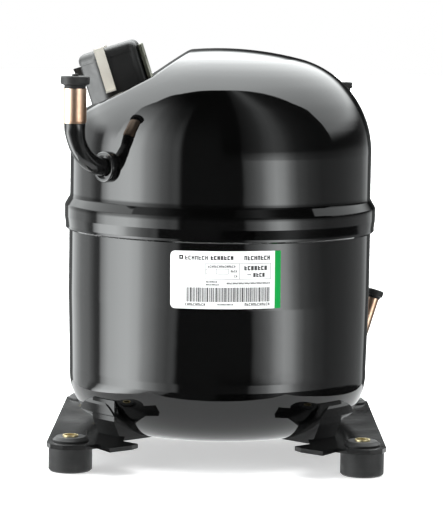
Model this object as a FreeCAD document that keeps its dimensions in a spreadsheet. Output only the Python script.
import FreeCAD, Part
import math
import os
import re
import Sketcher

# Hermetic reciprocating compressor: a welded steel shell on two bracket feet,
# with a motor-above, cylinder-below pump unit hung on four springs inside it.
# +Z is up, the ground is z = 0, the shell's axis is the Z axis and the front
# (the side with the rating label) faces -Y.  All sizes are millimetres.

DIMENSIONS = {
    # shell
    "wall": 3.0,
    "upper_radius": 104.4,
    "crown_radius": 225.0,
    "crown_top": 280.6,
    "knuckle_radius": 66.0,
    "dome_base": 183.7,
    "skirt_radius": 108.0,
    "skirt_bore": 105.05,
    "skirt_bottom": 157.7,
    "skirt_top": 172.0,
    "flare_top": 178.0,
    "flare_blend": 2.5,
    "skirt_draft": 0.8,
    "lower_radius": 104.8,
    "lower_waist_radius": 103.6,
    "lower_rim": 168.7,
    "taper_top": 110.7,
    "taper_bottom": 60.7,
    "lower_bottom": 17.2,
    "lower_knuckle": 38.0,
    "bead_bottom": 154.9,
    "bead_radius": 107.3,
    # flattened shoulder and terminal seat
    "facet_tilt": 27.5,
    "facet_x": -47.5,
    "facet_z": 261.9,
    "step_tilt": 35.0,
    "facet_blend": 9.0,
    "seat_tilt": 18.0,
    "seat_x": -89.5,
    "seat_z": 240.6,
    "seat_length": 42.2,
    "seat_width": 50.0,
    "seat_gap": 1.2,
    "terminal_radius": 14.2,
    "contact_radius": 1.6,
    "contact_length": 22.0,
    "glass_radius": 3.2,
    "glass_height": 4.5,
    "relay_length": 26.0,
    "relay_width": 24.0,
    "relay_height": 16.0,
    "relay_from": 8.0,
    "relay_lift": 4.0,
    "protector_radius": 8.5,
    "protector_height": 9.0,
    "protector_lift": 20.3,
    # terminal cover
    "cover_height": 34.5,
    "cover_wall": 1.8,
    "cover_corner": 7.0,
    "cover_cut": 12.5,
    "cover_edge": 5.0,
    "lid_line": 27.0,
    "strap_from": 13.0,
    "strap_width": 7.0,
    "strap_gauge": 1.2,
    "strap_foot": 5.0,
    "fence_gauge": 2.0,
    "fence_from": 43.0,
    "fence_top": 30.0,
    "fence_width": 42.0,
    # suction line
    "suction_azimuth": 223.5,
    "suction_height": 202.1,
    "suction_reach": 133.0,
    "suction_bend": 28.0,
    "suction_outer": 6.2,
    "suction_inner": 5.2,
    "suction_joint": 232.0,
    "connector_outer": 7.7,
    "connector_bore": 6.45,
    "connector_mouth": 6.9,
    "connector_top": 254.9,
    "suction_collar": 10.4,
    "collar_length": 10.5,
    # discharge and process lines
    "discharge_azimuth": 28.0,
    "discharge_height": 69.5,
    "discharge_reach": 119.0,
    "discharge_lean": 19.5,
    "process_azimuth": 40.0,
    "process_height": 199.7,
    "process_reach": 115.0,
    "small_outer": 4.0,
    "small_inner": 3.2,
    "small_mouth": 3.45,
    "mouth_depth": 6.5,
    "small_bend": 12.0,
    "discharge_rise": 24.9,
    "process_rise": 41.5,
    "small_collar": 6.8,
    # bracket feet
    "foot_x": 97.5,
    "foot_y": 88.0,
    "plate_bottom": 17.0,
    "plate_gauge": 3.0,
    "plate_hole": 10.1,
    "saddle_gauge": 2.5,
    "saddle_reach": 104.0,
    "saddle_top": 46.0,
    "lip_azimuth": -37.0,
    "lip_radius": 25.0,
    "lip_centre": 20.0,
    "web_azimuth": -41.5,
    "web_width": 23.0,
    "grommet_radius": 14.7,
    "grommet_collar": 12.0,
    "grommet_top": 22.9,
    "sleeve_radius": 5.2,
    "sleeve_bore": 4.25,
    "sleeve_top": 23.9,
    # label
    "label_bottom": 112.05,
    "label_top": 150.2,
    "label_gauge": 0.25,
    "label_left": 17.75,
    "label_right": 22.75,
    # crank mechanism
    "throw": 11.85,
    "cylinder_height": 65.7,
    "bore_radius": 21.5,
    "piston_radius": 21.45,
    "piston_crown": 65.85,
    "piston_length": 26.0,
    "crown_pocket": 1.7,
    "yoke_bore": 14.0,
    "yoke_outer": 18.0,
    "yoke_half": 27.0,
    "block_radius": 13.95,
    "block_half": 13.0,
    "pin_radius": 10.5,
    "pin_bottom": 49.2,
    "web_bottom": 87.7,
    "web_top": 93.4,
    "web_radius": 26.0,
    "journal_radius": 12.0,
    "running_gap": 0.04,
    "pickup_radius": 3.0,
    "pickup_bottom": 30.7,
    "pickup_top": 63.7,
    # crankcase and head
    "frame_bottom": 93.7,
    "frame_top": 105.7,
    "frame_radius": 72.0,
    "hub_radius": 20.0,
    "hub_top": 130.2,
    "block_side": 30.0,
    "block_inner": 30.5,
    "block_face": 66.5,
    "plate_face": 67.0,
    "plate_back": 70.5,
    "head_face": 71.0,
    "head_back": 85.0,
    "bolt_offset": 23.5,
    "bolt_radius": 3.0,
    "suction_port_y": -8.0,
    "discharge_port_y": 8.0,
    "port_z": 61.7,
    "reed_root": 79.7,
    # motor
    "stator_radius": 75.0,
    "stator_bore": 40.0,
    "stack_bottom": 131.7,
    "stack_top": 201.7,
    "slot_depth": 21.0,
    "slot_width": 6.0,
    "rotor_radius": 39.4,
    "ring_outer": 37.0,
    "ring_inner": 25.0,
    "winding_outer": 63.0,
    "winding_inner": 44.0,
    "winding_height": 20.0,
    "post_offset": 49.0,
    "post_radius": 5.5,
    # suspension and mufflers
    "spring_offset": 42.0,
    "leg_radius": 8.0,
    "leg_bottom": 55.7,
    "spring_radius": 8.0,
    "floor_top": 20.2,
    "muffler_x": 62.0,
    "muffler_y": 56.0,
    "muffler_radius": 13.0,
    "muffler_bottom": 57.7,
    "muffler_top": 89.7,
    "loop_radius": 88.0,
    "loop_height": 115.7,
    "loop_tube": 3.0,
}

doc = FreeCAD.newDocument("HermeticCompressor")
sheet = doc.addObject("Spreadsheet::Sheet", "Dims")
for row, (alias, size) in enumerate(DIMENSIONS.items(), 1):
    sheet.set("A%d" % row, alias)
    sheet.set("B%d" % row, str(size))
    sheet.setAlias("B%d" % row, alias)
doc.recompute()

NODES = []


def text(size):
    """A size as an expression on the sheet: alias words gain the sheet's name."""
    if not isinstance(size, str):
        return repr(float(size))
    return re.sub(r"[a-z_]+", lambda word: "Dims." + word.group(0)
                  if word.group(0) in DIMENSIONS else word.group(0), size)


def number(size):
    """The value of a size, read from the sheet."""
    if not isinstance(size, str):
        return float(size)
    sheet.set("D1", "=" + re.sub(r"Dims\.", "", text(size)))
    doc.recompute([sheet])
    return float(sheet.get("D1"))


def bind(obj, **sizes):
    for name, size in sizes.items():
        obj.setExpression(name, text(size))
    return obj


def place(obj, at=(0, 0, 0), axis=None, angle=0):
    """Put an object at a point, turned by an angle about an axis."""
    if axis is not None:
        obj.Placement = FreeCAD.Placement(FreeCAD.Vector(0, 0, 0),
                                          FreeCAD.Rotation(FreeCAD.Vector(*axis), 1))
        obj.setExpression("Placement.Rotation.Angle", text(angle))
    for letter, size in zip("xyz", at):
        if size != 0:
            obj.setExpression("Placement.Base." + letter, text(size))
    return obj


def cylinder(name, radius, height, at=(0, 0, 0), axis=None, angle=0):
    obj = doc.addObject("Part::Cylinder", name)
    bind(obj, Radius=radius, Height=height)
    return place(obj, at, axis, angle)


def box(name, size, at=(0, 0, 0), axis=None, angle=0):
    obj = doc.addObject("Part::Box", name)
    bind(obj, Length=size[0], Width=size[1], Height=size[2])
    return place(obj, at, axis, angle)


def torus(name, ring, tube, at=(0, 0, 0), sweep=360, axis=None, angle=0):
    obj = doc.addObject("Part::Torus", name)
    bind(obj, Radius1=ring, Radius2=tube)
    obj.Angle3 = sweep
    return place(obj, at, axis, angle)


def fuse(name, pieces):
    obj = doc.addObject("Part::MultiFuse", name)
    obj.Shapes = pieces
    obj.Refine = True
    return obj


def common(name, pieces):
    obj = doc.addObject("Part::MultiCommon", name)
    obj.Shapes = pieces
    return obj


def cut(name, base, tools):
    obj = doc.addObject("Part::Cut", name)
    obj.Base = base
    obj.Tool = tools[0] if len(tools) == 1 else fuse(name + "_tools", tools)
    obj.Refine = True
    return obj


def compound(name, pieces):
    obj = doc.addObject("Part::Compound", name)
    obj.Links = pieces
    return obj


def mirrored(name, source, normal):
    obj = doc.addObject("Part::Mirroring", name)
    obj.Source = source
    obj.Normal = FreeCAD.Vector(*normal)
    return obj


def four_corners(name, source):
    """The source and its mirror images across the XZ and YZ planes."""
    side = mirrored(name + "_side", source, (1, 0, 0))
    back = mirrored(name + "_back", source, (0, 1, 0))
    far = mirrored(name + "_far", side, (0, 1, 0))
    return compound(name, [source, side, back, far])


def rounded(name, source, radius, wanted):
    """Fillet the edges of the source that the wanted() test picks."""
    doc.recompute()
    obj = doc.addObject("Part::Fillet", name)
    obj.Base = source
    size = number(radius)
    obj.Edges = [(index, size, size) for index, edge in enumerate(source.Shape.Edges, 1)
                 if not edge.Degenerated and wanted(edge)]
    return obj


def origin_plane(body, role):
    return [plane for plane in body.Origin.OriginFeatures if plane.Role == role][0]


def profile(body, name, plane, points, circles=()):
    """A closed outline (and round holes) on one of the body's origin planes."""
    sketch = body.newObject("Sketcher::SketchObject", name)
    sketch.AttachmentSupport = (origin_plane(body, plane), [""])
    sketch.MapMode = "FlatFace"
    corners = [FreeCAD.Vector(number(x), number(y), 0) for x, y in points]
    last = len(points)
    for index in range(last):
        sketch.addGeometry(Part.LineSegment(corners[index], corners[(index + 1) % last]), False)
    for index in range(last):
        sketch.addConstraint(Sketcher.Constraint("Coincident", index, 2, (index + 1) % last, 1))
    for index, (x, y) in enumerate(points):
        for kind, size, value, axis in (("DistanceX", x, corners[index].x, -2),
                                        ("DistanceY", y, corners[index].y, -1)):
            if abs(value) < 1e-9:
                sketch.addConstraint(Sketcher.Constraint("PointOnObject", index, 1, axis))
            else:
                datum = sketch.addConstraint(
                    Sketcher.Constraint(kind, -1, 1, index, 1, value))
                sketch.setExpression("Constraints[%d]" % datum, text(size))
    for x, y, radius in circles:
        centre = FreeCAD.Vector(number(x), number(y), 0)
        ring = sketch.addGeometry(
            Part.Circle(centre, FreeCAD.Vector(0, 0, 1), number(radius)), False)
        datum = sketch.addConstraint(Sketcher.Constraint("Radius", ring, number(radius)))
        sketch.setExpression("Constraints[%d]" % datum, text(radius))
        for kind, size, value, axis in (("DistanceX", x, centre.x, -2),
                                        ("DistanceY", y, centre.y, -1)):
            if abs(value) < 1e-9:
                sketch.addConstraint(Sketcher.Constraint("PointOnObject", ring, 3, axis))
            else:
                datum = sketch.addConstraint(
                    Sketcher.Constraint(kind, -1, 1, ring, 3, value))
                sketch.setExpression("Constraints[%d]" % datum, text(size))
    return sketch


def revolve(name, points, at=(0, 0, 0), axis=None, angle=0):
    """A body turned about its own Z axis from (radius, height) points."""
    body = doc.addObject("PartDesign::Body", name)
    sketch = profile(body, name + "_profile", "XZ_Plane", points)
    turn = body.newObject("PartDesign::Revolution", name + "_turn")
    turn.Profile = sketch
    turn.ReferenceAxis = (sketch, ["V_Axis"])
    turn.Angle = 360
    body.Tip = turn
    return place(body, at, axis, angle)


def extrude(name, points, height, at=(0, 0, 0), circles=(), axis=None, angle=0):
    """A body padded upward from an outline on its own XY plane."""
    body = doc.addObject("PartDesign::Body", name)
    sketch = profile(body, name + "_outline", "XY_Plane", points, circles)
    pad = body.newObject("PartDesign::Pad", name + "_pad")
    pad.Profile = sketch
    pad.setExpression("Length", text(height))
    body.Tip = pad
    return place(body, at, axis, angle)


def node(obj, label):
    """Register an object as one separately made piece."""
    obj.Label = label
    NODES.append(obj)
    return obj


def flat_circle(edge, height, radius=None):
    """True for a full level circle at a height (and of a radius)."""
    bounds = edge.BoundBox
    if bounds.ZLength > 1e-3 or abs(bounds.ZMin - height) > 0.05:
        return False
    return radius is None or abs(bounds.XMax - radius) < 0.05


# ---------------------------------------------------------------- shell halves
def dome(tag, inset):
    """The closed dome, drawn in from the outside by an inset."""
    drum = cylinder(tag + "_drum", "upper_radius - %s" % inset, 120, at=(0, 0, "dome_base"))
    crown = doc.addObject("Part::Sphere", tag + "_crown")
    bind(crown, Radius="crown_radius - %s" % inset)
    place(crown, (0, 0, "crown_top - crown_radius"))
    capped = common(tag + "_capped", [drum, crown])
    doc.recompute()
    knuckled = rounded(tag + "_knuckled", capped, "knuckle_radius - %s" % inset,
                       lambda edge: edge.BoundBox.ZLength < 1e-3
                       and edge.BoundBox.ZMin > number("dome_base") + 5
                       and edge.Length > 100)
    facet = place(box(tag + "_facet", (400, 400, 100)),
                  ("facet_x - 200 * cos(facet_tilt) + %s * sin(facet_tilt)" % inset, -200,
                   "facet_z - 200 * sin(facet_tilt) - %s * cos(facet_tilt)" % inset),
                  (0, -1, 0), "facet_tilt")
    step = place(box(tag + "_step", (400, 400, 100)),
                 ("facet_x - 200 * cos(step_tilt) + %s * sin(step_tilt)" % inset, -200,
                  "facet_z - 200 * sin(step_tilt) - %s * cos(step_tilt)" % inset),
                 (0, -1, 0), "step_tilt")
    flattened = cut(tag + "_flattened", knuckled, [common(tag + "_shoulder", [facet, step])])
    doc.recompute()
    softened = rounded(tag + "_softened", flattened, "facet_blend",
                       lambda edge: edge.BoundBox.ZMax > number("dome_base") + 30
                       and edge.Length > 20
                       and not flat_circle(edge, edge.BoundBox.ZMin)
                       and on_facet(edge, flattened.Shape))
    seat = seat_frame(tag + "_seat", ("seat_length + 2 * seat_gap + 2 * (%s)" % inset),
                      ("seat_width + 2 * seat_gap + 2 * (%s)" % inset), 60,
                      "-seat_gap - (%s)" % inset, "-(%s)" % inset)
    return cut(tag + "_blank", softened, [seat])


def on_facet(edge, shape):
    """True for an edge that bounds one of the shoulder's two flats."""
    for face in shape.Faces:
        if isinstance(face.Surface, Part.Plane) and 0.6 < abs(face.Surface.Axis.z) < 0.95:
            if any(edge.isSame(other) for other in face.Edges):
                return True
    return False


def seat_point(along, across, up):
    """A point given in the tilted frame of the terminal seat."""
    return ("seat_x + (%s) * cos(seat_tilt) - (%s) * sin(seat_tilt)" % (along, up), across,
            "seat_z + (%s) * sin(seat_tilt) + (%s) * cos(seat_tilt)" % (along, up))


def seat_frame(name, length, width, height, along, up):
    """A box standing in the tilted frame of the terminal seat, centred front to back."""
    return box(name, (length, width, height),
               at=seat_point(along, "-(%s) / 2" % width, up), axis=(0, -1, 0), angle="seat_tilt")


def seat_cylinder(name, radius, height, along, across, up):
    return cylinder(name, radius, height, at=seat_point(along, across, up),
                    axis=(0, -1, 0), angle="seat_tilt")


skirt_blank = revolve("shell_skirt", [
    ("skirt_bore", "skirt_bottom"), ("skirt_radius - skirt_draft", "skirt_bottom"),
    ("skirt_radius", "skirt_top - 8"), ("skirt_radius", "skirt_top"), ("upper_radius", "flare_top"),
    ("upper_radius", "dome_base"), ("upper_radius - wall", "dome_base"),
    ("upper_radius - wall", "skirt_top + 2"), ("skirt_bore", "skirt_top - 1.5")])
doc.recompute()
skirt = rounded("soft_skirt", skirt_blank, "flare_blend",
                lambda edge: flat_circle(edge, number("skirt_top"), number("skirt_radius"))
                or flat_circle(edge, number("flare_top"), number("upper_radius")))
outer_dome = dome("outer_dome", "0")
inner_dome = dome("inner_dome", "wall")
terminal_hole = seat_cylinder("terminal_hole", "terminal_radius", 30, "seat_length / 2", 0, -15)


def radial_cylinder(name, radius, length, azimuth, start, height):
    """A level cylinder that points away from the shell's axis."""
    obj = doc.addObject("Part::Cylinder", name)
    bind(obj, Radius=radius, Height=length)
    bearing = number(azimuth)
    obj.Placement = FreeCAD.Placement(
        FreeCAD.Vector(0, 0, 0),
        FreeCAD.Rotation(FreeCAD.Vector(0, 0, 1), bearing)
        * FreeCAD.Rotation(FreeCAD.Vector(0, 1, 0), 90))
    obj.setExpression("Placement.Base.x", text("(%s) * cos(%s)" % (start, azimuth)))
    obj.setExpression("Placement.Base.y", text("(%s) * sin(%s)" % (start, azimuth)))
    obj.setExpression("Placement.Base.z", text(height))
    return obj


suction_hole = radial_cylinder("suction_hole", "suction_outer", 20, "suction_azimuth", 92,
                               "suction_height")
process_hole = radial_cylinder("process_hole", "small_outer", 20, "process_azimuth", 92,
                               "process_height")
discharge_hole = radial_cylinder("discharge_hole", "small_outer", 20, "discharge_azimuth", 92,
                                 "discharge_height")
upper_wall = fuse("upper_wall", [cut("dome_wall", outer_dome, [inner_dome]), skirt])
node(cut("upper_shell_part", upper_wall, [terminal_hole, suction_hole, process_hole]),
     "upper_shell")


def lower_cup(name, inset, top):
    """The closed lower cup, drawn in from the outside by an inset."""
    blank = revolve(name + "_blank", [
        (0, "lower_bottom + %s" % inset), ("lower_waist_radius - %s" % inset,
                                           "lower_bottom + %s" % inset),
        ("lower_waist_radius - %s" % inset, "taper_bottom"),
        ("lower_radius - %s" % inset, "taper_top"), ("lower_radius - %s" % inset, top),
        (0, top)])
    doc.recompute()
    bottom = number("lower_bottom + %s" % inset)
    return rounded(name, blank, "lower_knuckle - %s" % inset,
                   lambda edge: flat_circle(edge, bottom))


outer_cup = lower_cup("outer_cup", "0", "lower_rim")
inner_cup = lower_cup("inner_cup", "wall", "lower_rim + 5")
node(cut("lower_shell_part", outer_cup, [inner_cup, discharge_hole]), "lower_shell")
node(revolve("seam_bead", [
    ("lower_radius", "bead_bottom"), ("lower_radius + 1.4", "bead_bottom + 0.3"),
    ("bead_radius", "bead_bottom + 1.3"), ("bead_radius", "skirt_bottom"),
    ("lower_radius", "skirt_bottom")]), "seam_weld")

# ---------------------------------------------------------------- rating label
label_disc = cylinder("label_disc", "lower_radius + label_gauge", "label_top - label_bottom",
                      at=(0, 0, "label_bottom"), axis=(0, 0, 1), angle="270 - label_left")
label_disc.setExpression("Angle", text("label_left + label_right"))
label_core = cylinder("label_core", "lower_radius", "label_top - label_bottom + 4",
                      at=(0, 0, "label_bottom - 2"))
node(cut("label_sheet", label_disc, [label_core]), "rating_label")

# ---------------------------------------------------------------- bracket feet
saddle_lip = common("saddle_lip", [
    revolve("lip_ring", [
        ("saddle_reach - 24", 31), ("saddle_reach - 6", 31), ("saddle_reach", 35),
        ("saddle_reach", 41), ("saddle_reach - 3", "saddle_top"),
        ("saddle_reach - 24", "saddle_top")]),
    radial_cylinder("lip_arch", "lip_radius", 60, "lip_azimuth", 60, "lip_centre")])
web_lines = {}
for tag, inset in (("outer", "0"), ("inner", "saddle_gauge")):
    ring = revolve("web_ring_" + tag, [
        (60, "plate_bottom"), ("saddle_reach - 6 - %s" % inset, "plate_bottom"),
        ("saddle_reach - 6 - %s" % inset, 20), ("saddle_reach - 1 - %s" % inset, 31),
        ("saddle_reach - 1 - %s" % inset, "saddle_top - 1 - %s" % inset),
        (60, "saddle_top - 1 - %s" % inset)])
    side = "(web_width / 2 - %s)" % inset
    beam = box("web_beam_" + tag, (60, "2 * %s" % side, 40),
               at=("60 * cos(web_azimuth) + %s * sin(web_azimuth)" % side,
                   "60 * sin(web_azimuth) - %s * cos(web_azimuth)" % side, "plate_bottom"),
               axis=(0, 0, 1), angle="web_azimuth")
    web_lines[tag] = common("web_" + tag, [ring, beam])
saddle_solid = fuse("saddle_solid", [saddle_lip, web_lines["outer"]])
saddle_core = web_lines["inner"]
saddles = []
cores = []
for tag, normal in (("front", None), ("rear", (0, 1, 0))):
    for group, source in ((saddles, saddle_solid), (cores, saddle_core)):
        group.append(source if normal is None
                     else mirrored("%s_%s" % (tag, source.Name), source, normal))
plate_outline = [
    ("foot_x + 13.5", 94), ("foot_x + 15.5", -96), ("foot_x + 12.5", -104),
    ("foot_x + 4", -108), ("foot_x - 11", -107), (79, -101), (70, -115), (56, -104),
    (52, -97), (62, -88), (62, 92), (88, 103), ("foot_x + 8", 102)]
plate_circles = [("foot_x", "foot_y", "plate_hole"), ("foot_x", "-foot_y", "plate_hole")]
for side, circles, label in (
        ("right", plate_circles + [(95, 36, 2.3)], "right_bracket"),
        ("left", plate_circles, "left_bracket")):
    flat_plate = extrude(side + "_plate", plate_outline, "plate_gauge",
                         at=(0, 0, "plate_bottom"), circles=circles)
    joined = fuse(side + "_joined", [flat_plate] + saddles)
    trimmed = cut(side + "_trimmed", joined, cores + [outer_cup])
    if side == "left":
        trimmed = mirrored("left_mirrored", trimmed, (1, 0, 0))
    node(trimmed, label)

grommet = revolve("grommet", [
    ("sleeve_radius", 0), ("grommet_radius - 1.2", 0), ("grommet_radius", 1.2),
    ("grommet_radius", "plate_bottom - 1.2"), ("grommet_radius - 1", "plate_bottom"),
    ("plate_hole", "plate_bottom"), ("plate_hole", "plate_bottom + plate_gauge"),
    ("grommet_collar", "plate_bottom + plate_gauge"),
    ("grommet_collar", "grommet_top - 2"), ("grommet_collar - 2.2", "grommet_top"),
    ("sleeve_radius", "grommet_top")], at=("foot_x", "foot_y", 0))
node(four_corners("grommets", grommet), "mounting_grommets")
sleeve = revolve("sleeve", [
    ("sleeve_bore", 0), ("sleeve_radius", 0), ("sleeve_radius", "sleeve_top"),
    ("sleeve_bore", "sleeve_top")], at=("foot_x", "foot_y", 0))
node(four_corners("sleeves", sleeve), "grommet_sleeves")


# ---------------------------------------------------------------- shell tubes
def elbow(name, radius, azimuth, height, reach, bend, rise, lean, start=100):
    """A solid rod: out of the shell, round a bend, then up (leaning outward)."""
    level = radial_cylinder(name + "_level", radius, "%s - (%s) - (%s)" % (reach, bend, start),
                            azimuth, start, height)
    turn = doc.addObject("Part::Torus", name + "_turn")
    bind(turn, Radius1=bend, Radius2=radius)
    turn.Angle3 = 90 - number(lean)
    bearing = number(azimuth)
    about_z = FreeCAD.Rotation(FreeCAD.Vector(0, 0, 1), bearing)
    turn.Placement = FreeCAD.Placement(
        FreeCAD.Vector(0, 0, 0),
        about_z * FreeCAD.Rotation(FreeCAD.Vector(1, 0, 0), 90)
        * FreeCAD.Rotation(FreeCAD.Vector(0, 0, 1), -90))
    hub = "(%s - (%s))" % (reach, bend)
    turn.setExpression("Placement.Base.x", text("%s * cos(%s)" % (hub, azimuth)))
    turn.setExpression("Placement.Base.y", text("%s * sin(%s)" % (hub, azimuth)))
    turn.setExpression("Placement.Base.z", text("%s + %s" % (height, bend)))
    riser = upright(name + "_riser", radius, rise, azimuth, height, reach, bend, lean, 0)
    return fuse(name, [level, turn, riser])


def upright(name, radius, length, azimuth, height, reach, bend, lean, offset):
    """A rod along the rising run of an elbow, starting at an offset past the bend."""
    rod = doc.addObject("Part::Cylinder", name)
    bind(rod, Radius=radius, Height=length)
    return along_riser(rod, azimuth, height, reach, bend, lean, offset)


def along_riser(obj, azimuth, height, reach, bend, lean, offset):
    """Stand an object on the rising run of an elbow, at an offset past the bend."""
    obj.Placement = FreeCAD.Placement(
        FreeCAD.Vector(0, 0, 0),
        FreeCAD.Rotation(FreeCAD.Vector(0, 0, 1), number(azimuth))
        * FreeCAD.Rotation(FreeCAD.Vector(0, 1, 0), number(lean)))
    out = "(%s - (%s) + (%s) * cos(%s) + (%s) * sin(%s))" % (reach, bend, bend, lean, offset, lean)
    up = "%s + %s - (%s) * sin(%s) + (%s) * cos(%s)" % (height, bend, bend, lean, offset, lean)
    obj.setExpression("Placement.Base.x", text("%s * cos(%s)" % (out, azimuth)))
    obj.setExpression("Placement.Base.y", text("%s * sin(%s)" % (out, azimuth)))
    obj.setExpression("Placement.Base.z", text(up))
    return obj


LINES = {
    "suction": ("suction_azimuth", "suction_height", "suction_reach", "suction_bend", 0),
    "discharge": ("discharge_azimuth", "discharge_height", "discharge_reach", "small_bend",
                  "discharge_lean"),
    "process": ("process_azimuth", "process_height", "process_reach", "small_bend - 3.5", 0),
}


def shell_tube(line, outer, inner, rise, label):
    azimuth, height, reach, bend, lean = LINES[line]
    solid = elbow(line + "_rod", outer, azimuth, height, reach, bend, rise, lean)
    core = elbow(line + "_core", inner, azimuth, height, reach, bend, "%s + 4" % rise, lean, 95)
    return node(cut(line + "_tube_part", solid, [core]), label)


def stub_tube(line, rise, label):
    """A small shell tube whose mouth is opened out to take a plug."""
    azimuth, height, reach, bend, lean = LINES[line]
    solid = elbow(line + "_rod", "small_outer", azimuth, height, reach, bend, rise, lean)
    core = elbow(line + "_core", "small_inner", azimuth, height, reach, bend, "%s + 4" % rise,
                 lean, 95)
    mouth = upright(line + "_mouth", "small_mouth", "mouth_depth + 4", azimuth, height, reach,
                    bend, lean, "%s - mouth_depth" % rise)
    return node(cut(line + "_tube_part", solid, [core, mouth]), label)


COLLAR_START = 98


def collar(line, outer, inner, length, label):
    """The ring welded round a tube where it enters the shell."""
    azimuth, height = LINES[line][:2]
    reach = number("%s + %s" % (COLLAR_START, length))
    blank = radial_cylinder(line + "_ring", outer, length, azimuth, COLLAR_START, height)
    doc.recompute()
    ring = rounded(line + "_soft_ring", blank, 1.4,
                   lambda edge: math.hypot(edge.CenterOfMass.x, edge.CenterOfMass.y) > reach - 1
                   and edge.Curve.TypeId == "Part::GeomCircle")
    hole = radial_cylinder(line + "_ring_hole", inner, 20, azimuth, 94, height)
    base = outer_cup if line == "discharge" else outer_dome_full
    recess = radial_cylinder(line + "_recess", "%s + 1.8" % inner, 20, azimuth, reach - 2.5, height)
    return node(cut(line + "_collar_part", ring, [hole, base, recess]), label)


def riser_body(name, line, points, offset):
    azimuth, height, reach, bend, lean = LINES[line]
    return along_riser(revolve(name, points), azimuth, height, reach, bend, lean, offset)


outer_dome_full = cylinder("dome_core", "upper_radius", 80, at=(0, 0, "dome_base - 10"))
shell_tube("suction", "suction_outer", "suction_inner",
           "suction_joint + 3 - suction_height - suction_bend", "suction_tube")
connector_rise = "suction_joint - suction_height - suction_bend"
connector_length = "(connector_top - suction_joint)"
node(riser_body("suction_socket", "suction", [
    ("suction_outer", 0), ("connector_outer - 0.5", 0), ("connector_outer", 1.5),
    ("connector_outer", connector_length), ("connector_mouth", connector_length),
    ("connector_mouth", connector_length + " - 6.5"),
    ("connector_bore", connector_length + " - 7"), ("connector_bore", 5),
    ("suction_outer", 4)], connector_rise), "suction_connector")
collar("suction", "suction_collar", "suction_outer", "collar_length", "suction_collar")
stub_tube("discharge", "discharge_rise", "discharge_tube")
collar("discharge", "small_collar", "small_outer", "collar_length - 1.5", "discharge_collar")
stub_tube("process", "process_rise", "process_tube")
collar("process", "small_collar", "small_outer", "collar_length - 2", "process_collar")

node(riser_body("suction_stopper", "suction", [
    (0, -5.5), (6.3, -5.5), (6.8, -5), (6.8, 0), (7.2, 0), (7.2, 2.0), (9.3, 2.7),
    (9.7, 3.6), (9.7, 7.3), (9.2, 8.0), (2.2, 8.0), (2.0, 9.4), (0, 9.4)],
    connector_rise + " + " + connector_length + " + 0.05"), "suction_plug")
for line, rise in (("discharge", "discharge_rise"), ("process", "process_rise")):
    node(riser_body(line + "_stopper", line, [
        (0, -6), (3.2, -6), (3.38, -5.5), (3.38, 0), (4.6, 0), (4.6, 1.4), (6.0, 2.1),
        (6.0, 5.5), (5.5, 6.2), (0, 6.2)], rise + " + 0.05"), line + "_plug")

# ---------------------------------------------------------------- terminal set


def cover_block(name, inset, height, low):
    """A block in the cover's outline, cut off at its two outer corners."""
    side = "(seat_width / 2 - %s)" % inset
    return extrude(name, [
        (inset, "-%s + cover_cut" % side), (inset + " + cover_cut", "-" + side),
        ("seat_length - %s" % inset, "-" + side), ("seat_length - %s" % inset, side),
        (inset + " + cover_cut", side), (inset, "%s - cover_cut" % side)], height,
        at=seat_point("0", "0", low), axis=(0, -1, 0), angle="seat_tilt")


cover_blank = cover_block("cover_blank", "0.001", "cover_height", "0.1")


def seat_direction(edge):
    """How far an edge runs along the seat's own axis, from 0 to 1."""
    start, end = edge.Vertexes[0].Point, edge.Vertexes[-1].Point
    if edge.Length < 1 or start.distanceToPoint(end) < 1:
        return 0
    tilt = math.radians(number("seat_tilt"))
    axis = FreeCAD.Vector(-math.sin(tilt), 0, math.cos(tilt))
    return abs((end - start).normalize().dot(axis))


def seat_level(edge):
    """Mean height of an edge above the seat."""
    tilt = math.radians(number("seat_tilt"))
    middle = edge.CenterOfMass
    return ((middle.x - number("seat_x")) * -math.sin(tilt)
            + (middle.z - number("seat_z")) * math.cos(tilt))


def soft_block(name, blank, inset):
    """Round a cover block's upright corners and then its top edges."""
    doc.recompute()
    top = number("cover_height - %s" % inset)
    sides = rounded(name + "_sides", blank, "cover_corner - %s" % inset,
                    lambda edge: seat_direction(edge) > 0.9)
    return rounded(name + "_soft", sides, "cover_edge - %s" % inset,
                   lambda edge: seat_level(edge) > top - 1)


cover_outer = soft_block("cover_outer", cover_blank, "0")
cover_room = cover_block("cover_room", "cover_wall", "cover_height - cover_wall", "0")
cover_hollow = soft_block("cover_hollow", cover_room, "cover_wall")
lid_outer = seat_frame("lid_outer", "seat_length + 2", "seat_width + 2", 0.7, -1, "lid_line")
lid_keep = cover_block("lid_keep", "0.6", 3, "lid_line - 1")
lid_groove = cut("lid_groove", lid_outer, [lid_keep])
cable_outlet = seat_frame("cable_outlet", 6, 16, 7, -5, 20)
cable_channel = seat_frame("cable_channel", 9, 11, 3.6, -6, 21.7)
cover_joined = fuse("cover_joined", [cover_outer, cable_outlet])
node(cut("cover_part", cover_joined, [cover_hollow, lid_groove, cable_channel]),
     "terminal_cover")
strap_outer = seat_frame("strap_outer", "strap_width",
                         "seat_width + 2 * strap_gauge + 0.2",
                         "cover_height + strap_gauge + 0.2 - strap_foot", "strap_from",
                         "strap_foot")
strap_inner = seat_frame("strap_inner", "strap_width + 4", "seat_width + 0.2",
                         "cover_height + 4", "strap_from - 2", "0.2 - 4")
strap_shell = cut("strap_shell", strap_outer, [strap_inner])
front_toe = box("front_toe", ("strap_width", 5.2, "strap_gauge"),
                at=seat_point("strap_from", "-seat_width / 2 - strap_gauge - 5.1",
                              "strap_foot"), axis=(0, -1, 0), angle="seat_tilt")
rear_toe = mirrored("rear_toe", front_toe, (0, 1, 0))
node(fuse("strap_part", [strap_shell, front_toe, rear_toe]), "cover_strap")
fence_plate = seat_frame("fence_plate", "fence_gauge", "fence_width", "fence_top - 1.2",
                         "fence_from", "1.2")
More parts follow.
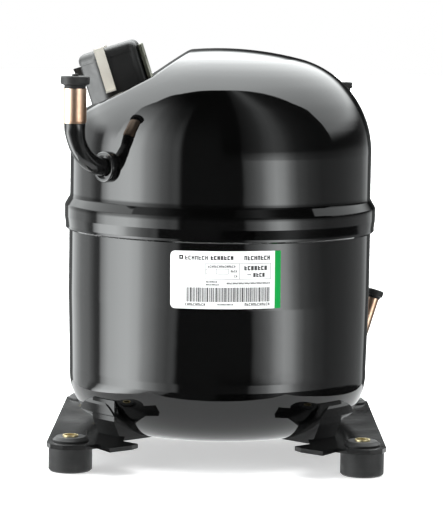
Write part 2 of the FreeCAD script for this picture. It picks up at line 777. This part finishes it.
fence_slot = seat_frame("fence_slot", "fence_gauge + 2", 12, 3, "fence_from - 1", 19)
node(cut("fence_part", fence_plate, [fence_slot, outer_dome]), "terminal_fence")

terminal_cup = seat_cylinder("terminal_cup", "terminal_radius", "glass_height",
                             "seat_length / 2", 0, -5)
pin_spots = [(0, 6.4), (5.5, -3.2), (-5.5, -3.2)]
pin_solids = []
glass_solids = []
glass_holes = []
pin_holes = []
for index, (along, across) in enumerate(pin_spots):
    spot = "seat_length / 2 + %s" % along
    pin_solids.append(seat_cylinder("pin_%d" % index, "contact_radius", "contact_length", spot,
                                    across, -13))
    glass = seat_cylinder("glass_disc_%d" % index, "glass_radius", "glass_height", spot,
                          across, -5)
    bore = seat_cylinder("glass_bore_%d" % index, "contact_radius", 12, spot, across, -8)
    glass_solids.append(cut("glass_%d" % index, glass, [bore]))
    glass_holes.append(seat_cylinder("glass_hole_%d" % index, "glass_radius", 12, spot,
                                     across, -8))
    pin_holes.append(seat_cylinder("relay_hole_%d" % index, "contact_radius + 0.05", 14, spot,
                                   across, 3))
node(cut("terminal_part", terminal_cup, glass_holes), "hermetic_terminal")
node(compound("terminal_glasses", glass_solids), "glass_seals")
node(compound("terminal_pins_part", pin_solids), "terminal_pins")
relay_block = seat_frame("relay_block", "relay_length", "relay_width", "relay_height",
                         "relay_from", "relay_lift")
node(cut("relay_part", relay_block, pin_holes), "start_relay")
node(seat_cylinder("protector_part", "protector_radius", "protector_height", "seat_length / 2",
                   0, "protector_lift"), "overload_protector")

# ---------------------------------------------------------------- crankcase casting
frame_disc = cylinder("frame_disc", "frame_radius", "frame_top - frame_bottom",
                      at=(0, 0, "frame_bottom"))
frame_hub = cylinder("frame_hub", "hub_radius", "hub_top - frame_bottom",
                     at=(0, 0, "frame_bottom"))
cylinder_block = box("cylinder_block",
                     ("block_face - block_inner", "2 * block_side", "block_side + 30"),
                     at=("block_inner", "-block_side", "cylinder_height - block_side"))
leg = cylinder("leg", "leg_radius", "frame_bottom - leg_bottom + 1",
               at=("spring_offset", "spring_offset", "leg_bottom"))
post = cylinder("post", "post_radius", "stack_bottom - frame_top + 1",
                at=("post_offset", "post_offset", "frame_top - 1"))
casting = fuse("casting", [frame_disc, frame_hub, cylinder_block, four_corners("legs", leg),
                           four_corners("posts", post)])
main_bore = cylinder("main_bore", "journal_radius + running_gap", 60, at=(0, 0, 80))
piston_bore = cylinder("piston_bore", "bore_radius", 60, at=(20, 0, "cylinder_height"),
                       axis=(0, 1, 0), angle=90)


def cross_bolts(name, radius, length, start):
    """Four rods along X on the head's bolt square."""
    rods = []
    for index, (across, up) in enumerate(((1, 1), (1, -1), (-1, 1), (-1, -1))):
        rods.append(cylinder("%s_%d" % (name, index), radius, length,
                             at=(start, "%d * bolt_offset" % across,
                                 "cylinder_height + %d * bolt_offset" % up),
                             axis=(0, 1, 0), angle=90))
    return rods


stud_holes = cross_bolts("stud_hole", "bolt_radius", "block_face - 45", 46)
post_hole = cylinder("post_hole", 2.5, 22, at=("post_offset", "post_offset",
                                               "stack_bottom - 20"))
oil_drain = cylinder("oil_drain", 9, 30, at=(0, "frame_radius - 26", "frame_bottom - 5"))
drain_side = mirrored("drain_side", oil_drain, (0, 1, 0))
drain_back = cylinder("drain_back", 11, 30, at=("26 - frame_radius", 0, "frame_bottom - 5"))
head_room = box("head_room", (20, 62, 12.5), at=("block_face", -31, "frame_bottom - 10"))
clearances = [head_room, main_bore, piston_bore, oil_drain, drain_side, drain_back]
post_holes = four_corners("post_holes", post_hole)
node(cut("crankcase_part", casting, clearances + [post_holes] + stud_holes), "crankcase")

# ---------------------------------------------------------------- valve stack and head
port_spots = {"suction": ("suction_port_y", 5), "discharge": ("discharge_port_y", 4)}
port_holes = [cylinder("port_" + name, radius, 12, at=(62, across, "port_z"),
                       axis=(0, 1, 0), angle=90)
              for name, (across, radius) in port_spots.items()]


def head_slab(name, start, end, clear):
    """A square slab of the valve stack with its four bolt holes."""
    slab = box(name + "_slab", ("%s - (%s)" % (end, start), "2 * block_side", "2 * block_side"),
               at=(start, "-block_side", "cylinder_height - block_side"))
    return slab, cross_bolts(name + "_hole", clear, 40, "%s - 5" % start)


slab, holes = head_slab("plate_gasket", "block_face", "plate_face", "bolt_radius + 0.2")
gasket_bore = cylinder("gasket_bore", "bore_radius", 20, at=(60, 0, "cylinder_height"),
                       axis=(0, 1, 0), angle=90)
node(cut("plate_gasket_part", slab, [gasket_bore] + holes), "valve_plate_gasket")
slab, holes = head_slab("valve_plate", "plate_face", "plate_back", "bolt_radius + 0.2")
node(cut("valve_plate_part", slab, port_holes + holes), "valve_plate")
slab, holes = head_slab("head_gasket", "plate_back", "head_face", "bolt_radius + 0.2")
chamber_low = "cylinder_height - 19"
gasket_windows = [
    box("gasket_window_a", (6, 19.5, 38), at=("plate_back - 2", -20.5, chamber_low)),
    box("gasket_window_b", (6, 19.5, 38), at=("plate_back - 2", 1, chamber_low))]
node(cut("head_gasket_part", slab, gasket_windows + holes), "head_gasket")
slab, holes = head_slab("head", "head_face", "head_back", "bolt_radius + 0.2")
head_edges = rounded("head_edges", slab, 4,
                     lambda edge: abs(edge.BoundBox.XMax - number("head_back")) < 0.01)
chambers = [box("chamber_a", (12, 19.5, 38), at=("head_face - 1", -20.5, chamber_low)),
            box("chamber_b", (12, 19.5, 38), at=("head_face - 1", 1, chamber_low))]
neck_spots = [cylinder("head_port_%s" % name, 2.2, 40, at=(76, start, "port_z"),
                       axis=(1, 0, 0), angle=90)
              for name, start in (("a", -15), ("b", 55))]
node(cut("head_part", head_edges, chambers + neck_spots + holes), "cylinder_head")

bolt_shanks = cross_bolts("bolt_shank", "bolt_radius", "head_back - 47", 48)
bolt_heads = []
for index, (across, up) in enumerate(((1, 1), (1, -1), (-1, 1), (-1, -1))):
    prism = doc.addObject("Part::Prism", "bolt_hex_%d" % index)
    prism.Polygon = 6
    bind(prism, Circumradius=5.0, Height=3.5)
    place(prism, ("head_back", "%d * bolt_offset" % across,
                  "cylinder_height + %d * bolt_offset" % up), (0, 1, 0), 90)
    bolt_heads.append(fuse("head_bolt_%d" % index, [bolt_shanks[index], prism]))
node(compound("head_bolts_part", bolt_heads), "head_bolts")


def reed(name, start, across, width, label):
    """A thin steel leaf over a port, round at its free end."""
    strip = box(name + "_strip", (0.3, width, "reed_root - port_z"),
                at=(start, "%s - %s / 2" % (across, width), "port_z"))
    tip = cylinder(name + "_tip", "%s / 2" % width, 0.3, at=(start, across, "port_z"),
                   axis=(0, 1, 0), angle=90)
    return node(fuse(name, [strip, tip]), label)


reed("suction_leaf", 66.65, "suction_port_y", 13, "suction_reed")
reed("discharge_leaf", "plate_back + 0.05", "discharge_port_y", 11, "discharge_reed")
stop_bar = box("stop_bar", (1.6, 9, 31), at=("plate_back + 2.4", "discharge_port_y - 4.5",
                                             "port_z - 9"))
stop_foot = box("stop_foot", (2.41, 9, 3.5), at=("plate_back", "discharge_port_y - 4.5",
                                                 "reed_root + 0.5"))
stop_heel = box("stop_heel", (2.41, 9, 2.2), at=("plate_back", "discharge_port_y - 4.5",
                                                 "port_z - 9"))
node(fuse("stop_part", [stop_bar, stop_foot, stop_heel]), "valve_stop")


# ---------------------------------------------------------------- mufflers and discharge loop
def muffler(name, side, label):
    drum = cylinder(name + "_drum", "muffler_radius", "muffler_top - muffler_bottom",
                    at=("muffler_x", "%d * muffler_y" % side, "muffler_bottom"))
    doc.recompute()
    can = rounded(name + "_can", drum, 3, lambda edge: edge.BoundBox.ZLength < 1e-3)
    start = "block_side + 27" if side > 0 else "-block_side"
    neck = cylinder(name + "_neck", 3, 27, at=(76, start, "port_z"), axis=(1, 0, 0), angle=90)
    hollow = cylinder(name + "_hollow", "muffler_radius - 2",
                      "muffler_top - muffler_bottom - 4",
                      at=("muffler_x", "%d * muffler_y" % side, "muffler_bottom + 2"))
    bore_start = "block_side + 22" if side > 0 else "5 - block_side"
    bore = cylinder(name + "_bore", 2.2, 27, at=(76, bore_start, "port_z"),
                    axis=(1, 0, 0), angle=90)
    return node(cut(name, fuse(name + "_body", [can, neck]), [hollow, bore]), label)


muffler("suction_chamber", 1, "suction_muffler")
muffler("discharge_chamber", -1, "discharge_muffler")

LOOP_START = -42
LOOP_SWEEP = 290


def loop_solid(name, radius):
    """The discharge loop: riser, long ring round the motor, drop to the shell."""
    ring = torus(name + "_ring", "loop_radius", radius, at=(0, 0, "loop_height"),
                 sweep=LOOP_SWEEP, axis=(0, 0, 1), angle="discharge_azimuth")
    pieces = [ring]
    for tag, azimuth, low in (("riser", str(LOOP_START), "muffler_top"),
                              ("drop", "discharge_azimuth", "discharge_height")):
        x = "loop_radius * cos(%s)" % azimuth
        y = "loop_radius * sin(%s)" % azimuth
        pieces.append(cylinder("%s_%s" % (name, tag), radius, "loop_height - %s" % low,
                               at=(x, y, low)))
        ball = doc.addObject("Part::Sphere", "%s_%s_ball" % (name, tag))
        bind(ball, Radius=radius)
        pieces.append(place(ball, (x, y, "loop_height")))
    corner = doc.addObject("Part::Sphere", name + "_corner")
    bind(corner, Radius=radius)
    pieces.append(place(corner, ("loop_radius * cos(discharge_azimuth)",
                                 "loop_radius * sin(discharge_azimuth)", "discharge_height")))
    pieces.append(radial_cylinder(name + "_exit", radius, "100 - loop_radius",
                                  "discharge_azimuth", "loop_radius", "discharge_height"))
    return fuse(name, pieces)


node(loop_solid("loop_part", "loop_tube"), "discharge_loop")

# ---------------------------------------------------------------- motor
stack = "stack_top - stack_bottom"
stator = doc.addObject("PartDesign::Body", "stator_body")
disc_sketch = stator.newObject("Sketcher::SketchObject", "stator_disc")
disc_sketch.AttachmentSupport = (origin_plane(stator, "XY_Plane"), [""])
disc_sketch.MapMode = "FlatFace"
for radius in ("stator_radius", "stator_bore"):
    ring = disc_sketch.addGeometry(
        Part.Circle(FreeCAD.Vector(0, 0, 0), FreeCAD.Vector(0, 0, 1), number(radius)), False)
    disc_sketch.addConstraint(Sketcher.Constraint("Coincident", ring, 3, -1, 1))
    datum = disc_sketch.addConstraint(Sketcher.Constraint("Radius", ring, number(radius)))
    disc_sketch.setExpression("Constraints[%d]" % datum, text(radius))
stack_pad = stator.newObject("PartDesign::Pad", "stator_stack")
stack_pad.Profile = disc_sketch
stack_pad.setExpression("Length", text(stack))
stator.Tip = stack_pad
doc.recompute()
slot_sketch = profile(stator, "slot_outline", "XY_Plane", [
    ("stator_bore - 1", "-slot_width / 4"), ("stator_bore + 3", "-slot_width / 2"),
    ("stator_bore + slot_depth", "-slot_width * 0.8"),
    ("stator_bore + slot_depth", "slot_width * 0.8"), ("stator_bore + 3", "slot_width / 2"),
    ("stator_bore - 1", "slot_width / 4")])
slot = stator.newObject("PartDesign::Pocket", "stator_slot")
slot.Profile = slot_sketch
slot.Type = "ThroughAll"
slot.Reversed = True
stator.Tip = slot
doc.recompute()
slots = stator.newObject("PartDesign::PolarPattern", "stator_slots")
slots.Originals = [slot]
slots.Axis = (slot_sketch, ["N_Axis"])
slots.Angle = 360
slots.Occurrences = 24
stator.Tip = slots
place(stator, (0, 0, "stack_bottom"))
stator_hole = cylinder("stator_hole", 2.7, 90, at=("post_offset", "post_offset",
                                                   "stack_bottom - 5"))
node(cut("stator_part", stator, [four_corners("stator_holes", stator_hole)]), "stator_core")
for label in ("lower_winding", "upper_winding"):
    coil = revolve(label + "_coil", [
        ("winding_inner", 0), ("winding_outer", 0), ("winding_outer", "winding_height - 5"),
        ("winding_outer - 5", "winding_height"), ("winding_inner + 4", "winding_height"),
        ("winding_inner", "winding_height - 4")])
    if label == "lower_winding":
        place(coil, (0, 0, "stack_bottom"), (1, 0, 0), 180)
    else:
        place(coil, (0, 0, "stack_top"))
    node(coil, label)
bolt_rod = cylinder("bolt_rod", 2.5, "stack_top - stack_bottom + 18",
                    at=("post_offset", "post_offset", "stack_bottom - 18"))
bolt_cap = cylinder("bolt_cap", 4.6, 4.5, at=("post_offset", "post_offset", "stack_top"))
node(four_corners("stator_bolts_part", fuse("stator_bolt", [bolt_rod, bolt_cap])),
     "stator_bolts")

# ---------------------------------------------------------------- crankshaft and rotor
web = cylinder("web", "web_radius", "web_top - web_bottom", at=(0, 0, "web_bottom"))
web_flat = box("web_flat", (30, 80, 20), at=(23, -40, "web_bottom - 5"))
crank_pin = cylinder("crank_pin", "pin_radius", "web_bottom - pin_bottom + 1",
                     at=("throw", 0, "pin_bottom"))
journal = cylinder("journal", "journal_radius", "stack_top - web_top + 7",
                   at=(0, 0, "web_top - 1"))
crank_solid = fuse("crank_solid", [web, crank_pin, journal])
pickup_bore = cylinder("pickup_bore", "pickup_radius + running_gap",
                       "pickup_top - pin_bottom + 5.5", at=("throw / 2", 0, "pin_bottom - 5"))
oil_way = cylinder("oil_way", 2.5, 180, at=(0, 0, "web_bottom + 2"))
node(cut("crank_part", crank_solid, [pickup_bore, oil_way, web_flat]), "crankshaft")
node(revolve("rotor_part", [
    ("journal_radius", "stack_bottom"), ("rotor_radius", "stack_bottom"),
    ("rotor_radius", "stack_top"), ("journal_radius", "stack_top")]), "rotor_core")
rings = [revolve("end_ring_" + tag, [
    ("ring_inner", low), ("ring_outer", low), ("ring_outer", "%s + 6" % low),
    ("ring_inner", "%s + 6" % low)]) for tag, low in (("lower", "stack_bottom - 6"),
                                                      ("upper", "stack_top"))]
node(compound("end_rings", rings), "rotor_end_rings")
weight_disc = cylinder("weight_disc", "ring_outer", 9, at=(0, 0, "stack_top + 6"),
                       axis=(0, 0, 1), angle=-75)
weight_disc.Angle = 150
weight_core = cylinder("weight_core", "ring_inner", 12, at=(0, 0, "stack_top + 5"))
node(cut("weight_part", weight_disc, [weight_core]), "balance_weight")
pickup_tube = revolve("pickup_part", [
    (1.2, 0), (1.6, 0), ("pickup_radius", 6), ("pickup_radius", "pickup_top - pickup_bottom"),
    (2.0, "pickup_top - pickup_bottom"), (2.0, 7)], at=("throw / 2", 0, "pickup_bottom"))
node(pickup_tube, "oil_pickup")

# ---------------------------------------------------------------- piston and slide block
yoke_rod = cylinder("yoke_rod", "yoke_outer", "2 * yoke_half",
                    at=("throw", "yoke_half", "cylinder_height"), axis=(1, 0, 0), angle=90)
piston_skirt = cylinder("piston_skirt", "piston_radius", "piston_length",
                        at=("piston_crown - piston_length", 0, "cylinder_height"),
                        axis=(0, 1, 0), angle=90)
piston_neck = cylinder("piston_neck", 11, "piston_crown - piston_length - throw - 10",
                       at=("throw + 12", 0, "cylinder_height"), axis=(0, 1, 0), angle=90)
piston_solid = fuse("piston_solid", [yoke_rod, piston_skirt, piston_neck])
yoke_hole = cylinder("yoke_hole", "yoke_bore", "2 * yoke_half + 10",
                     at=("throw", "yoke_half + 5", "cylinder_height"), axis=(1, 0, 0), angle=90)
yoke_slot = box("yoke_slot", ("2 * pin_radius + 1", "2 * (pin_radius + throw) + 1", 60),
                at=("throw - pin_radius - 0.5", "-(pin_radius + throw) - 0.5",
                    "cylinder_height - 30"))
crown_pocket = box("crown_pocket_box", ("crown_pocket + 5", 15, 32),
                   at=("piston_crown - crown_pocket", "suction_port_y - 7.5",
                       "reed_root - 30.5"))
piston_lighten = cylinder("piston_lighten", 16, 14,
                          at=("piston_crown - piston_length - 0.01", 0, "cylinder_height"),
                          axis=(0, 1, 0), angle=90)
lighten_core = cylinder("lighten_core", 11, 20,
                        at=("piston_crown - piston_length - 2", 0, "cylinder_height"),
                        axis=(0, 1, 0), angle=90)
skirt_recess = cut("skirt_recess", piston_lighten, [lighten_core])
node(cut("piston_part", piston_solid, [yoke_hole, yoke_slot, crown_pocket, skirt_recess]),
     "piston")
block_rod = cylinder("block_rod", "block_radius", "2 * block_half",
                     at=("throw", "block_half", "cylinder_height"), axis=(1, 0, 0), angle=90)
block_hole = cylinder("block_hole", "pin_radius + running_gap", 50,
                      at=("throw", 0, "cylinder_height - 25"))
block_ends = common("block_ends", [block_rod, box(
    "block_box", ("2 * block_radius", 40, 17),
    at=("throw - block_radius", -20, "cylinder_height - 8.5"))])
node(cut("slide_block_part", block_ends, [block_hole]), "slide_block")

# ---------------------------------------------------------------- suspension
seat_stud = revolve("seat_stud", [
    (0, 0), (9, 0), (9, 2.5), (5.5, 2.5), (5, 11), (0, 11)],
    at=("spring_offset", "spring_offset", "floor_top"))
node(cut("spring_seats_part", four_corners("seats", seat_stud),
         [cut("cup_outside", cylinder("cup_drum", 130, 60), [inner_cup])]), "spring_seats")
pad_stud = revolve("pad_stud", [
    (0, "leg_bottom - 10"), (5, "leg_bottom - 10"), (5.5, "leg_bottom - 2.5"),
    (9, "leg_bottom - 2.5"), (9, "leg_bottom"), (0, "leg_bottom")],
    at=("spring_offset", "spring_offset", 0))
node(four_corners("pads_part", pad_stud), "spring_pads")
turns = 5
coil_low = "floor_top + 2.5"
coil_rise = "(leg_bottom - 2.5 - floor_top - 2.5)"
coil_points = []
for index in range(turns):
    low = "%s + %s * %d / %d" % (coil_low, coil_rise, index, turns)
    middle = "%s + %s * %s / %d" % (coil_low, coil_rise, index + 0.5, turns)
    coil_points += [("spring_radius - 1", low), ("spring_radius + 1", middle)]
coil_points.append(("spring_radius - 1", "%s + %s" % (coil_low, coil_rise)))
coil_inner = []
for index in reversed(range(turns)):
    high = "%s + %s * %d / %d" % (coil_low, coil_rise, index + 1, turns)
    middle = "%s + %s * %s / %d" % (coil_low, coil_rise, index + 0.5, turns)
    coil_inner += [("spring_radius - 2.2", high), ("spring_radius - 0.2", middle)]
coil_inner.append(("spring_radius - 2.2", coil_low))
spring = revolve("spring_coil", coil_points + coil_inner,
                 at=("spring_offset", "spring_offset", 0))
node(four_corners("springs_part", spring), "suspension_springs")

# ---------------------------------------------------------------- check and write
doc.recompute()
problems = [obj.Name + " " + ", ".join(obj.State) for obj in doc.Objects
            if "Invalid" in obj.State or "Error" in obj.State]
for obj in NODES:
    if obj.Shape.isNull() or not obj.Shape.isValid() or not obj.Shape.Solids:
        problems.append(obj.Label + " has no valid solid")
if problems:
    raise SystemExit("part.py stopped: " + "; ".join(problems))

os.makedirs("parts", exist_ok=True)
for obj in NODES:
    obj.Shape.exportStep("parts/%s.step" % obj.Label)
    print(obj.Label, len(obj.Shape.Solids), round(obj.Shape.Volume))
